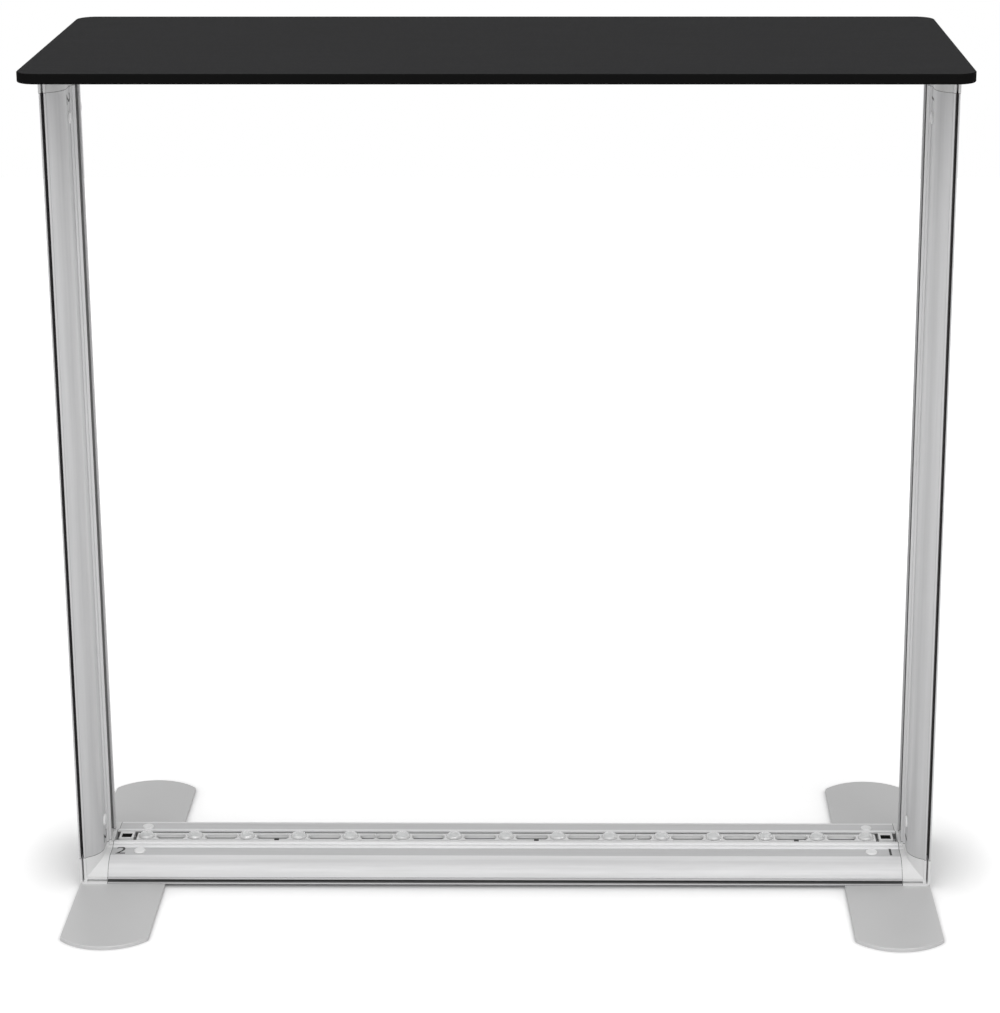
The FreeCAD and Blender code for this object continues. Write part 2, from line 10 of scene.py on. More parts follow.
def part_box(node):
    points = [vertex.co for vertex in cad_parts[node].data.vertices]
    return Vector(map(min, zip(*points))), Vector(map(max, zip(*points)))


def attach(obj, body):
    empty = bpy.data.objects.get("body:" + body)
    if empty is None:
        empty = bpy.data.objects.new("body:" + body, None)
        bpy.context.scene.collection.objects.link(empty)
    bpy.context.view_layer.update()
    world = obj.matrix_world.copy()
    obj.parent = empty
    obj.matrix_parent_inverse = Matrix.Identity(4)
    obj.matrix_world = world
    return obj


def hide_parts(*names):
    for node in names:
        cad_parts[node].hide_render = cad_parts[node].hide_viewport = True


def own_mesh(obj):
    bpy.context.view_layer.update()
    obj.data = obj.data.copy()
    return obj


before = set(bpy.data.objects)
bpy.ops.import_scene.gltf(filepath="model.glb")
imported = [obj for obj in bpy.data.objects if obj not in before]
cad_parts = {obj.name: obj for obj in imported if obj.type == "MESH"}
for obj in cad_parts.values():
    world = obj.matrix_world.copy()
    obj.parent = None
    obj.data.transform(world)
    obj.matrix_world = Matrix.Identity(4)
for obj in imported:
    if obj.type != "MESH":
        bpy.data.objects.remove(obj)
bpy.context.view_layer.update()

bl_info = {
    "name": "Illuminated counter",
    "version": (1, 0, 0),
    "blender": (4, 5, 0),
    "location": "View3D > Sidebar > Counter",
    "description": "Dresses the frame, countertop, light bars and feet of an illuminated counter",
    "category": "Object",
}

MM = 0.001
STRAIGHT_UP = Vector((0, 0, 1))
STRAIGHT_BACK = Vector((0, 1, 0))
WHITE = (1, 1, 1, 1)

# CAD nodes that are dressed or replaced

RAILS = ("bottom_rail", "top_rail")
POSTS = ("left_post", "right_post")
BARS = ("1", "2", "3")
BUTTONS = sorted(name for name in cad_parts
                 if name.startswith("button_") and not name.startswith("button_springs"))

# picture

PHOTO_WIDTH = 1000
PHOTO_HEIGHT = 1013
SENSOR_WIDTH = 36.0

# section of the rails and posts: rises from the outer face, widths from the middle

# groove and undercut ranges: where painted shade darkens the rails and posts
GROOVE_RISES = (1.55 * MM, 4.85 * MM)
GROOVE_WIDTHS = (53.0 * MM, 69.0 * MM)
UNDERCUT_RISES = (19.6 * MM, 27.3 * MM)
UNDERCUT_WIDTHS = (12.7 * MM, 14.8 * MM)
BAND_RISES = (6.0 * MM, 40.0 * MM)
BAND_WIDTHS = (24.6 * MM, 43.8 * MM)
# across these widths the painted slope light fades in
SLOPE_LIGHT_WIDTHS = (61.0 * MM, 50.0 * MM)
BAND_RISE = 24.8 * MM
SEAM_SHADOW_WIDTH = 0.6 * MM

# hollows of the carriers and inlets, where shade is painted

WINDOW_SHADE_RISE = 22.8 * MM
WINDOW_SHADE_WIDTHS = (-8.0 * MM, 8.0 * MM)
INLET_PLAY = 0.1 * MM
INLET_RIM = 0.3 * MM

# buttons and leaf springs

BUTTON_LINE = 33.0 * MM
FLANGE_OVERHANG = 1.2 * MM
LEAF_PLAY = 0.05 * MM
CREST_SHAPE = ((-1 / 3, 1 / 12), (0, 0), (1 / 3, 0), (1, 1 / 7))

# lenses, with the lower and upper end of the frost and its painted highlight as shares of the
# dome's height

LENS_GAP = 10.0 * MM
LENS_EDGE = 0.5 * MM
LENS_GROOVE_WIDTH = 0.3 * MM
LENS_GROOVE_FOOT = 0.1 * MM
LENS_DIMPLE = 0.35 * MM
LENS_DIMPLE_EDGE = 0.12 * MM
LENS_FROST_HIGHLIGHT = (0.3, 0.6)

# numbers

NUMBER_PLACE = 456.6 * MM
NUMBER_INSET = 44.0 * MM
NUMBER_WEIGHT = 0.1 * MM
SIZE_TO_HEIGHT = 1.37

# steps of round shapes

ROUND_SIDES = 48
EDGE_STEPS = 6
DISH_STEPS = 6
RIM_STEPS = 4
DOME_STEPS = 10
FOLD_STEPS = 10
SHARP_ANGLE = math.radians(40)
ON_AXIS = 1e-9

# what the node groups share

DRIFT_RANGE = (0.3, 0.7)
LINE_RANGE = (0.35, 0.65)
FINER_LINES = 3.7
FINER_SHARE = 0.4
CELL_SHARE = 0.5
SPECKS_LEFT_OUT = 0.55

# plain finishes

DRIFT_SCALE = 14.0
GLOSS_SPREAD = 0.05

# laminate

STREAK_STRETCH = (0.03, 1.0, 1.0)
STREAK_SCALE = 260.0
STREAK_SHARE = 0.12
CLOUD_STRETCH = (0.35, 1.0, 1.0)
CLOUD_SCALE = 420.0
CLOUD_AMOUNT = 0.9
SPECK_SCALE = 620.0
SPECK_SIZE = 0.22
SPECK_SHARE = 0.5
FACE_UP = 0.9
LAMINATE_GRAIN_SCALE = 900.0
LAMINATE_RELIEF = 0.05 * MM
LAMINATE_GLOSS = (0.62, 0.74)
LAMINATE_SHINE = 0.01

# anodised aluminium

RAIL_STRETCH = (0.02, 1.0, 1.0)
POST_STRETCH = (1.0, 1.0, 0.02)
DIE_LINE_SCALE = 620.0
DIE_DRIFT_SCALE = 260.0
DIE_DRIFT = 0.20
ANODISED_GRAIN_SCALE = 2600.0
ANODISED_GRAIN_SHARE = 0.15
ANODISED_RELIEF = 0.06 * MM
ANODISED_GLOSS = (0.40, 0.50)
ANODISED_METAL = 0.3

# lens plastic

RIPPLE_SCALE = 380.0
RIPPLE_DEPTH = 0.02 * MM
LENS_DRIFT_SCALE = 90.0
LENS_DRIFT = 0.06
LENS_GLOSS = (0.14, 0.22)

# floor and lamps

FLOOR_DROP = 0.2 * MM
FLOOR_SIZE = 4.0
FLOOR_PARTS = 8
PAPER_DRIFT_SCALE = 3.0
PAPER_DRIFT = 0.01
PAPER_ROUGHNESS = 0.9
LIFT_RANGE = (0.5, 1.5)
CONTACT_REACH = 0.12
CONTACT_SAMPLES = 12
CONTACT_POWER = 3.0
LAMP_SIZE = 6.0
LAMP_RATIO = 0.7
KEY_PLACE = (0.3, -4.4, 3.3)
KEY_TARGET = (0, 0, 0.4)
TOP_PLACE = (-0.2, -1.8, 3.9)
TOP_TARGET = (0, 0, 0.5)


class Surface(NamedTuple):
    """Gloss and metal of a plain finish, scale and depth of its grain, and drift of its tone."""
    roughness: float
    metallic: float
    grain_scale: float
    grain_depth: float
    drift: float = 0.06


SURFACES = {
    "corner_plastic": Surface(0.42, 0.0, 1500.0, 0.03 * MM),
    "button_plastic": Surface(0.28, 0.0, 1800.0, 0.01 * MM),
    "spring_steel": Surface(0.3, 1.0, 900.0, 0.01 * MM),
    "circuit_mask": Surface(0.35, 0.0, 700.0, 0.01 * MM),
    "chip_gel": Surface(0.2, 0.0, 900.0, 0.01 * MM),
    "carrier_plastic": Surface(0.4, 0.0, 1400.0, 0.02 * MM),
    "clip_plastic": Surface(0.4, 0.0, 1400.0, 0.02 * MM),
    "inlet_plastic": Surface(0.32, 0.0, 1400.0, 0.02 * MM),
    "contact_plastic": Surface(0.4, 0.0, 1400.0, 0.02 * MM),
    "contact_metal": Surface(0.25, 1.0, 900.0, 0.005 * MM),
    "powder_coat": Surface(0.45, 0.15, 1100.0, 0.05 * MM),
    "zinc_plate": Surface(0.35, 1.0, 700.0, 0.01 * MM, drift=0.15),
    "insert_metal": Surface(0.35, 1.0, 700.0, 0.01 * MM, drift=0.15),
    "screw_plastic": Surface(0.45, 0.0, 900.0, 0.03 * MM),
    "printed_ink": Surface(0.5, 0.0, 1200.0, 0.005 * MM, drift=0.3),
}


class Span(NamedTuple):
    """A stretch along an axis."""
    axis: int
    middle: float
    reach: float


# settings

def length(name, description, default):
    return FloatProperty(name=name, description=description, default=default, min=0.0,
                         subtype="DISTANCE", unit="LENGTH", precision=5)


def share(name, description, default):
    return FloatProperty(name=name, description=description, default=default, min=0.0, max=1.0,
                         subtype="FACTOR")


def strength(name, description, default):
    return FloatProperty(name=name, description=description, default=default, min=0.0)


def colour(name, description, default):
    return FloatVectorProperty(name=name, description=description, default=default, size=3,
                               min=0.0, max=1.0, subtype="COLOR")


def turn(name, description, default):
    return FloatProperty(name=name, description=description, default=default,
                         subtype="ANGLE", unit="ROTATION", precision=5)


class CounterSizes(bpy.types.PropertyGroup):
    """Sizes of the pieces that are built here."""
    button_radius: length("Button radius", "Radius of a snap button's head", 6.8 * MM)
    button_flange: length("Button flange", "Thickness of a snap button's flange", 2.0 * MM)
    button_round: length("Button rounding", "Rounding of a snap button's edge", 1.3 * MM)
    button_dish: length("Button dish", "Depth of the dish in a button's end", 0.35 * MM)
    leaf_sheet: length("Leaf sheet", "Thickness of a leaf spring", 0.6 * MM)
    leaf_width: length("Leaf width", "Width of a leaf spring", 6.8 * MM)
    leaf_length: length("Leaf length", "Length of a leaf spring's foot", 16.8 * MM)
    leaf_fold: length("Leaf fold", "Radius of a leaf spring's fold", 0.8 * MM)
    leaf_crest: length("Leaf crest", "Length of a leaf spring's bent end", 3.0 * MM)
    lens_radius: length("Lens radius", "Radius of a lens's rim", 9.6 * MM)
    lens_dome_radius: length("Dome radius", "Radius of a lens's dome", 8.7 * MM)
    lens_rim: length("Lens rim", "Height of a lens's rim", 1.7 * MM)
    number_height: length("Number height", "Height of the plain numbers", 19.0 * MM)
    ink: length("Ink thickness", "Thickness of a printed number", 0.04 * MM)


class CounterColours(bpy.types.PropertyGroup):
    """Colours of the finishes."""
    board: colour("Board", "Laminate of the countertop", (0.027, 0.027, 0.028))
    board_edge: colour("Board edge", "Edge band of the countertop", (0.007, 0.007, 0.007))
    board_speck: colour("Board specks", "Pale specks in the laminate", (0.07, 0.07, 0.07))
    aluminium: colour("Aluminium", "Satin anodised rails and posts", (0.59, 0.59, 0.595))
    # painted light: slopes are paler than the bands, and the posts' copy is darker than the rails'
    rail_slope_light: colour("Rail slopes", "Slopes and steps of the rails", (0.81, 0.81, 0.815))
    post_slope_light: colour("Post slopes", "Slopes and steps of the posts", (0.66, 0.66, 0.665))
    corner: colour("Corners", "Moulded corners", (0.81, 0.81, 0.81))
    button: colour("Buttons", "Snap buttons", (0.96, 0.96, 0.96))
    foot: colour("Feet", "Powder coat of the feet", (0.66, 0.66, 0.66))
    carrier: colour("Carriers", "Strips that hold the lenses", (0.86, 0.86, 0.86))
    inlet: colour("Inlets", "Housings of the power inlets", (0.84, 0.84, 0.84))
    black: colour("Black plastic", "Clips, contact carriers and leads", (0.018, 0.018, 0.018))
    steel: colour("Steel", "Springs, bolts, nuts and washers", (0.55, 0.55, 0.54))
    brass: colour("Brass", "Threaded inserts and contacts", (0.62, 0.47, 0.22))
    chip: colour("Light chips", "Gel of the light chips", (0.80, 0.74, 0.45))
    # painted shade for grooves, undercuts, carrier windows and inlet bores
    hollow_shade: colour("Hollows", "Shaded grooves and undercuts", (0.24, 0.24, 0.24))
    # painted shadow in the gaps at the joints
    seam: colour("Seams", "Shaded joints at the ends of the rails and posts", (0.10, 0.10, 0.10))
    circuit: colour("Light boards", "Mask of the light boards", (0.75, 0.75, 0.75))
    # the paler skirt colour, reaching up the lower dome, is partly a painted highlight
    lens: colour("Lenses", "Frosted skirts of the lenses", (0.98, 0.98, 0.98))
    lens_top: colour("Lens tops", "Clear tops of the lenses", (0.86, 0.87, 0.87))
    ink: colour("Ink", "Printed numbers", (0.02, 0.02, 0.02))


class CounterStage(bpy.types.PropertyGroup):
    """Camera, lamps and floor."""
    camera_x: FloatProperty(name="Camera X", description="Camera's place across the counter",
                            default=0.08731, subtype="DISTANCE", unit="LENGTH")
    camera_y: FloatProperty(name="Camera Y", description="Camera's place in front of the counter",
                            default=-3.05066, subtype="DISTANCE", unit="LENGTH")
    camera_z: FloatProperty(name="Camera Z", description="Camera's height", default=1.47386,
                            subtype="DISTANCE", unit="LENGTH")
    camera_yaw: turn("Camera yaw", "Turn of the view to the right", -0.008691)
    camera_pitch: turn("Camera pitch", "Tilt of the view downwards", 0.280134)
    camera_roll: turn("Camera roll", "Roll of the camera", -0.001418)
    focal_pixels: strength("Focal length", "Focal length in pixels of the picture", 2780.738)
    centre_x: strength("Centre across", "Column of the picture that the lens points at", 556.077)
    centre_y: strength("Centre down", "Row of the picture that the lens points at", 384.94)
    key: strength("Key lamp", "Power of the lamp in front", 92.0)
    top: strength("Top lamp", "Power of the lamp above", 70.0)
    sky: strength("Sky", "Strength of the light from all round", 0.34)
    floor: colour("Floor", "Floor and backdrop", (0.85, 0.85, 0.85))
    floor_lift: share("Floor lift", "Light that the camera adds near the counter", 0.54)


def settings():
    """The three groups of settings of the scene."""
    scene = bpy.context.scene
    return scene.counter_sizes, scene.counter_colours, scene.counter_stage


# nodes

def add_node(tree, kind, options=None, inputs=None):
    """A node with its options, and with each input linked or given a value."""
    node = tree.nodes.new(kind)
    for name, value in (options or {}).items():
        setattr(node, name, value)
    for name, value in (inputs or {}).items():
        if isinstance(value, bpy.types.NodeSocket):
            tree.links.new(value, node.inputs[name])
        else:
            node.inputs[name].default_value = value
    return node


def maths(tree, operation, first, second=0.0, third=0.0):
    """The result of a sum of up to three values."""
    node = add_node(tree, "ShaderNodeMath", {"operation": operation},
                    {0: first, 1: second, 2: third})
    return node.outputs[0]


def blend_colours(tree, factor, first, second, mode="MIX"):
    """Two colours blended by a factor, with the first alone at zero."""
    node = add_node(tree, "ShaderNodeMix", {"data_type": "RGBA", "blend_type": mode},
                    {0: factor, 6: first, 7: second})
    return node.outputs[2]


def between(tree, value, low, high, new_low, new_high):
    """A value's place between two others, carried over to a new range."""
    node = add_node(tree, "ShaderNodeMapRange", None,
                    {0: value, 1: low, 2: high, 3: new_low, 4: new_high})
    return node.outputs[0]


def opaque(rgb):
    """A colour with full cover."""
    return (rgb[0], rgb[1], rgb[2], 1.0)


def new_group(name, inputs, outputs):
    """An empty node group with named sockets, its input node and its output node."""
    group = bpy.data.node_groups.new(name, "ShaderNodeTree")
    for socket, kind in inputs.items():
        group.interface.new_socket(name=socket, in_out="INPUT", socket_type=kind)
    for socket, kind in outputs.items():
        group.interface.new_socket(name=socket, in_out="OUTPUT", socket_type=kind)
    return group, group.nodes.new("NodeGroupInput"), group.nodes.new("NodeGroupOutput")


def tone_drift_group():
    """Slow, faint changes of a colour over the surface."""
    group, given, result = new_group(
        "tone_drift",
        {"Vector": "NodeSocketVector", "Colour": "NodeSocketColor", "Scale": "NodeSocketFloat",
         "Amount": "NodeSocketFloat"},
        {"Colour": "NodeSocketColor", "Mask": "NodeSocketFloat"})
    noise = add_node(group, "ShaderNodeTexNoise", None,
                     {"Vector": given.outputs["Vector"], "Scale": given.outputs["Scale"],
                      "Detail": 3.0})
    centred = maths(group, "SUBTRACT", noise.outputs["Fac"], 0.5)
    factor = maths(group, "MULTIPLY_ADD", centred, given.outputs["Amount"], 1.0)
    grey = add_node(group, "ShaderNodeCombineColor", None, {0: factor, 1: factor, 2: factor})
    shaded = blend_colours(group, 1.0, given.outputs["Colour"], grey.outputs[0], "MULTIPLY")
    group.links.new(shaded, result.inputs["Colour"])
    group.links.new(noise.outputs["Fac"], result.inputs["Mask"])
    return group


def fine_grain_group():
    """The small relief of a moulded, coated or blasted surface."""
    group, given, result = new_group(
        "fine_grain",
        {"Vector": "NodeSocketVector", "Scale": "NodeSocketFloat"},
        {"Height": "NodeSocketFloat"})
    place, scale = given.outputs["Vector"], given.outputs["Scale"]
    cells = add_node(group, "ShaderNodeTexVoronoi", {"feature": "SMOOTH_F1"},
                     {"Vector": place, "Scale": scale})
    noise = add_node(group, "ShaderNodeTexNoise", None,
                     {"Vector": place, "Scale": scale, "Detail": 4.0})
    height = maths(group, "MULTIPLY_ADD", cells.outputs["Distance"], CELL_SHARE,
                   noise.outputs["Fac"])
    group.links.new(height, result.inputs["Height"])
    return group


def drawn_lines_group():
    """Fine straight lines left by a die, by a saw or in a printed laminate."""
    group, given, result = new_group(
        "drawn_lines",
        {"Vector": "NodeSocketVector", "Scale": "NodeSocketFloat"},
        {"Height": "NodeSocketFloat", "Mask": "NodeSocketFloat"})
    place, scale = given.outputs["Vector"], given.outputs["Scale"]
    coarse = add_node(group, "ShaderNodeTexNoise", None,
                      {"Vector": place, "Scale": scale, "Detail": 2.0})
    finer = maths(group, "MULTIPLY", scale, FINER_LINES)
    fine = add_node(group, "ShaderNodeTexNoise", None,
                    {"Vector": place, "Scale": finer, "Detail": 2.0})
    height = maths(group, "MULTIPLY_ADD", fine.outputs["Fac"], FINER_SHARE, coarse.outputs["Fac"])
    mask = between(group, coarse.outputs["Fac"], *LINE_RANGE, 0.0, 1.0)
    group.links.new(height, result.inputs["Height"])
    group.links.new(mask, result.inputs["Mask"])
    return group


def specks_group():
    """Small scattered specks."""
    group, given, result = new_group(
        "specks",
        {"Vector": "NodeSocketVector", "Scale": "NodeSocketFloat", "Size": "NodeSocketFloat"},
        {"Mask": "NodeSocketFloat"})
    cells = add_node(group, "ShaderNodeTexVoronoi", None,
                     {"Vector": given.outputs["Vector"], "Scale": given.outputs["Scale"]})
    near = maths(group, "LESS_THAN", cells.outputs["Distance"], given.outputs["Size"])
    chance = add_node(group, "ShaderNodeSeparateColor", None, {0: cells.outputs["Color"]})
    kept = maths(group, "GREATER_THAN", chance.outputs[0], SPECKS_LEFT_OUT)
    group.links.new(maths(group, "MULTIPLY", near, kept), result.inputs["Mask"])
    return group


def hollows_group():
    """Marks the inside of a groove or cavity, between two depths and two widths."""
    group, given, result = new_group(
        "hollows",
        {"Depth": "NodeSocketFloat", "Low": "NodeSocketFloat", "High": "NodeSocketFloat",
         "Width": "NodeSocketFloat", "Near": "NodeSocketFloat", "Far": "NodeSocketFloat"},
        {"Mask": "NodeSocketFloat"})
    inside = [maths(group, "GREATER_THAN", given.outputs["Depth"], given.outputs["Low"]),
              maths(group, "LESS_THAN", given.outputs["Depth"], given.outputs["High"]),
              maths(group, "GREATER_THAN", given.outputs["Width"], given.outputs["Near"]),
              maths(group, "LESS_THAN", given.outputs["Width"], given.outputs["Far"])]
    mask = inside[0]
    for part in inside[1:]:
        mask = maths(group, "MULTIPLY", mask, part)
    group.links.new(mask, result.inputs["Mask"])
    return group


GROUP_MAKERS = {
    "hollows": hollows_group,
    "tone_drift": tone_drift_group,
    "fine_grain": fine_grain_group,
    "drawn_lines": drawn_lines_group,
    "specks": specks_group,
}


def place_group(tree, name, inputs):
    """The named node group, built once, placed in a material with its own values."""
    group = bpy.data.node_groups.get(name) or GROUP_MAKERS[name]()
    return add_node(tree, "ShaderNodeGroup", {"node_tree": group}, inputs)


def new_material(name):
    """An empty material, its tree, its shader and its object coordinates."""
    material = bpy.data.materials.new(name)
    material.use_nodes = True
    tree = material.node_tree
    shader = tree.nodes["Principled BSDF"]
    place = add_node(tree, "ShaderNodeTexCoord").outputs["Object"]
    return material, tree, shader, place


def stretched(tree, place, scale):
    """A place with each of its coordinates scaled."""
    return add_node(tree, "ShaderNodeMapping", None, {"Vector": place, "Scale": scale}).outputs[0]


def wire_shader(tree, shader, base, gloss, height, depth):
    """Links a colour, a roughness and a relief of some depth to the shader."""
    bump = add_node(tree, "ShaderNodeBump", None,
                    {"Height": height, "Distance": depth, "Strength": 1.0})
    tree.links.new(base, shader.inputs["Base Color"])
    tree.links.new(gloss, shader.inputs["Roughness"])
    tree.links.new(bump.outputs["Normal"], shader.inputs["Normal"])


def set_shader(shader, **values):
    """Plain values on the shader's own sockets."""
    for name, value in values.items():
        shader.inputs[name.replace("_", " ")].default_value = value


def axis_value(tree, place, axis):
    """One of the three coordinates of a place."""
    return add_node(tree, "ShaderNodeSeparateXYZ", None, {0: place}).outputs[axis]


def away_from(tree, value, middle):
    """Distance of a coordinate from a middle."""
    return maths(tree, "ABSOLUTE", maths(tree, "SUBTRACT", value, middle))


def hollow_mask(tree, depth, depths, width, widths):
    """One where both values lie inside their ranges, zero elsewhere."""
    inputs = {"Depth": depth, "Low": depths[0], "High": depths[1],
              "Width": width, "Near": widths[0], "Far": widths[1]}
    return place_group(tree, "hollows", inputs).outputs["Mask"]


def seen_directly(tree):
    """One for rays that show a surface as it is, zero for those that light other surfaces."""
    ray = add_node(tree, "ShaderNodeLightPath").outputs
    through = maths(tree, "MAXIMUM", ray["Is Glossy Ray"], ray["Is Transmission Ray"])
    return maths(tree, "MAXIMUM", ray["Is Camera Ray"], through)


def plain_finish(name, rgb):
    """A finish with a faint drift of tone, uneven gloss and a fine relief."""
    surface = SURFACES[name]
    material, tree, shader, place = new_material(name)
    tone = place_group(tree, "tone_drift",
                       {"Vector": place, "Colour": opaque(rgb), "Scale": DRIFT_SCALE,
                        "Amount": surface.drift})
    grain = place_group(tree, "fine_grain", {"Vector": place, "Scale": surface.grain_scale})
    gloss = between(tree, tone.outputs["Mask"], *DRIFT_RANGE,
                    surface.roughness - GLOSS_SPREAD, surface.roughness + GLOSS_SPREAD)
    wire_shader(tree, shader, tone.outputs["Colour"], gloss, grain.outputs["Height"],
                surface.grain_depth)
    set_shader(shader, Metallic=surface.metallic)
    return material


# meshes

def new_piece(name, build, bodies, material):
    """An object from mesh code, riding on its body, with its finish."""
    shape = bmesh.new()
    build(shape)
    bmesh.ops.recalc_face_normals(shape, faces=shape.faces)
    mesh = bpy.data.meshes.new(name)
    shape.to_mesh(mesh)
    shape.free()
    piece = bpy.data.objects.new(name, mesh)
    bpy.context.scene.collection.objects.link(piece)
    mesh.materials.append(material)
    mesh.shade_smooth()
    mesh.set_sharp_from_angle(angle=SHARP_ANGLE)
    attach(piece, bodies)
    return piece


def arc(centre, radius, start, end, count):
    """Points of an arc in the plane of radius and height."""
    points = []
    for index in range(count + 1):
        angle = start + (end - start) * index / count
        points.append((centre[0] + radius * math.cos(angle), centre[1] + radius * math.sin(angle)))
    return points


def revolve(shape, profile, matrix):
    """A closed round solid from a profile that starts and ends on the axis."""
    turns = [2 * math.pi * index / ROUND_SIDES for index in range(ROUND_SIDES)]
    rings = []
    for radius, height in profile:
        places = [(radius * math.cos(angle), radius * math.sin(angle), height) for angle in turns]
        if radius < ON_AXIS:
            places = [(0, 0, height)]
        rings.append([shape.verts.new(matrix @ Vector(place)) for place in places])
    for low, high in zip(rings, rings[1:]):
        for index in range(ROUND_SIDES):
            after = (index + 1) % ROUND_SIDES
            around = (low[index % len(low)], low[after % len(low)],
                      high[after % len(high)], high[index % len(high)])
            unique = list(dict.fromkeys(around))
            if len(unique) > 2:
                shape.faces.new(unique)


def strip_outline(line, thickness):
    """Outline of a strip of even thickness along a line of points in one plane."""
    line = [Vector(point) for point in line]
    sides = ([], [])
    for index, point in enumerate(line):
        way = (line[min(index + 1, len(line) - 1)] - line[max(index - 1, 0)]).normalized()
        across = Vector((-way.y, way.x)) * thickness / 2
        sides[0].append(point + across)
        sides[1].append(point - across)
    return sides[0] + sides[1][::-1]


def extrude_outline(shape, outline, width, matrix):
    """A solid of even width from an outline of lengths and heights."""
    rims = []
    for side in (-width / 2, width / 2):
        rims.append([shape.verts.new(matrix @ Vector((along, side, height)))
                     for along, height in outline])
    shape.faces.new(rims[0])
    shape.faces.new(rims[1][::-1])
    for index in range(len(outline)):
        after = (index + 1) % len(outline)
        shape.faces.new((rims[0][index], rims[0][after], rims[1][after], rims[1][index]))


def button_profile(sizes, height):
    """Half section of a snap button from the middle of its flange to the middle of its dish."""
    radius, edge = sizes.button_radius, sizes.button_round
    flange = radius + FLANGE_OVERHANG
    dish = radius - edge
    profile = [(0, 0), (flange, 0), (flange, sizes.button_flange), (radius, sizes.button_flange)]
    profile += arc((dish, height - edge), edge, 0, math.pi / 2, EDGE_STEPS)
    for step in range(1, DISH_STEPS + 1):
        part = 1 - step / DISH_STEPS
        profile.append((dish * part, height - sizes.button_dish * (1 - part * part)))
    return profile


def button_place(node):
    """Where a snap button's flange starts and the way that its head points, and its height."""
    low, high = (Vector(corner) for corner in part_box(node))
    level, hand, leg = node.split("_")[1:4]
    if leg == "rail":
        way = STRAIGHT_UP if level == "bottom" else -STRAIGHT_UP
    else:
        way = Vector((1 if hand == "left" else -1, 0, 0))
    height = abs((high - low).dot(way))
    turn_to = STRAIGHT_UP.rotation_difference(way).to_matrix().to_4x4()
    return Matrix.Translation((low + high) / 2 - way * height / 2) @ turn_to, height


# finishes

def laminate_finish(colours):
    """Black laminate with pale specks and faint streaks, and a darker edge band."""
    material, tree, shader, place = new_material("black_laminate")
    streaks = place_group(tree, "drawn_lines",
                          {"Vector": stretched(tree, place, STREAK_STRETCH),
                           "Scale": STREAK_SCALE})
    tone = place_group(tree, "tone_drift",
                       {"Vector": stretched(tree, place, CLOUD_STRETCH),
                        "Colour": opaque(colours.board), "Scale": CLOUD_SCALE,
                        "Amount": CLOUD_AMOUNT})
    specks = place_group(tree, "specks",
                         {"Vector": place, "Scale": SPECK_SCALE, "Size": SPECK_SIZE})
    speckled = blend_colours(tree, maths(tree, "MULTIPLY", specks.outputs["Mask"], SPECK_SHARE),
                             tone.outputs["Colour"], opaque(colours.board_speck))
    streaked = blend_colours(tree, maths(tree, "MULTIPLY", streaks.outputs["Mask"], STREAK_SHARE),
                             speckled, opaque(colours.board_edge))
    normal = add_node(tree, "ShaderNodeTexCoord").outputs["Normal"]
    upright = maths(tree, "ABSOLUTE", axis_value(tree, normal, 2))
    face = maths(tree, "GREATER_THAN", upright, FACE_UP)
    whole = blend_colours(tree, face, opaque(colours.board_edge), streaked)
    grain = place_group(tree, "fine_grain", {"Vector": place, "Scale": LAMINATE_GRAIN_SCALE})
    gloss = between(tree, tone.outputs["Mask"], *DRIFT_RANGE, *LAMINATE_GLOSS)
    wire_shader(tree, shader, whole, gloss, grain.outputs["Height"], LAMINATE_RELIEF)
    set_shader(shader, Specular_IOR_Level=LAMINATE_SHINE)
    return material


def aluminium_finish(name, colours, slope_light, stretch, out, run):
    """Satin anodised aluminium with fine lines along the extrusion.

    Slopes and steps take a paler colour, painted light for the light that they catch. The fabric
    grooves and the undercuts of the light channel carry painted shade, and the seams at the ends
    a painted shadow line. Out and run are the ways across and along the extrusion: each is an
    axis, a middle and a reach.
    """
    material, tree, shader, place = new_material(name)
    along = stretched(tree, place, stretch)
    rise = maths(tree, "SUBTRACT", out.reach,
                 away_from(tree, axis_value(tree, place, out.axis), out.middle))
    width = away_from(tree, axis_value(tree, place, 1), 0.0)
    # painted light: slopes and steps take the paler slope colour
    slope = maths(tree, "MULTIPLY", between(tree, width, *SLOPE_LIGHT_WIDTHS, 0.0, 1.0),
                  maths(tree, "GREATER_THAN", rise, BAND_RISES[0]))
    slope_lit = blend_colours(tree, slope, opaque(colours.aluminium), opaque(slope_light))
    band = hollow_mask(tree, rise, BAND_RISES, width, BAND_WIDTHS)
    banded = blend_colours(tree, band, slope_lit, opaque(colours.aluminium))
    lines = place_group(tree, "drawn_lines", {"Vector": along, "Scale": DIE_LINE_SCALE})
    tone = place_group(tree, "tone_drift",
                       {"Vector": along, "Colour": banded, "Scale": DIE_DRIFT_SCALE,
                        "Amount": DIE_DRIFT})
    grain = place_group(tree, "fine_grain", {"Vector": place, "Scale": ANODISED_GRAIN_SCALE})
    gloss = between(tree, lines.outputs["Mask"], 0.0, 1.0, *ANODISED_GLOSS)
    relief = maths(tree, "MULTIPLY_ADD", grain.outputs["Height"], ANODISED_GRAIN_SHARE,
                   lines.outputs["Height"])
    # painted shade in the fabric grooves and in the undercuts of the light channel
    grooves = hollow_mask(tree, rise, GROOVE_RISES, width, GROOVE_WIDTHS)
    undercuts = hollow_mask(tree, rise, UNDERCUT_RISES, width, UNDERCUT_WIDTHS)
    hollow_shade = blend_colours(tree, maths(tree, "MAXIMUM", grooves, undercuts),
                           tone.outputs["Colour"], opaque(colours.hollow_shade))
    # painted shadow: a thin dark strip at each end, in the gap of the joint
    seams = maths(tree, "GREATER_THAN",
                  away_from(tree, axis_value(tree, place, run.axis), run.middle),
                  run.reach - SEAM_SHADOW_WIDTH)
    shaded = blend_colours(tree, seams, hollow_shade, opaque(colours.seam))
    wire_shader(tree, shader, shaded, gloss, relief, ANODISED_RELIEF)
    set_shader(shader, Metallic=ANODISED_METAL)
    return material


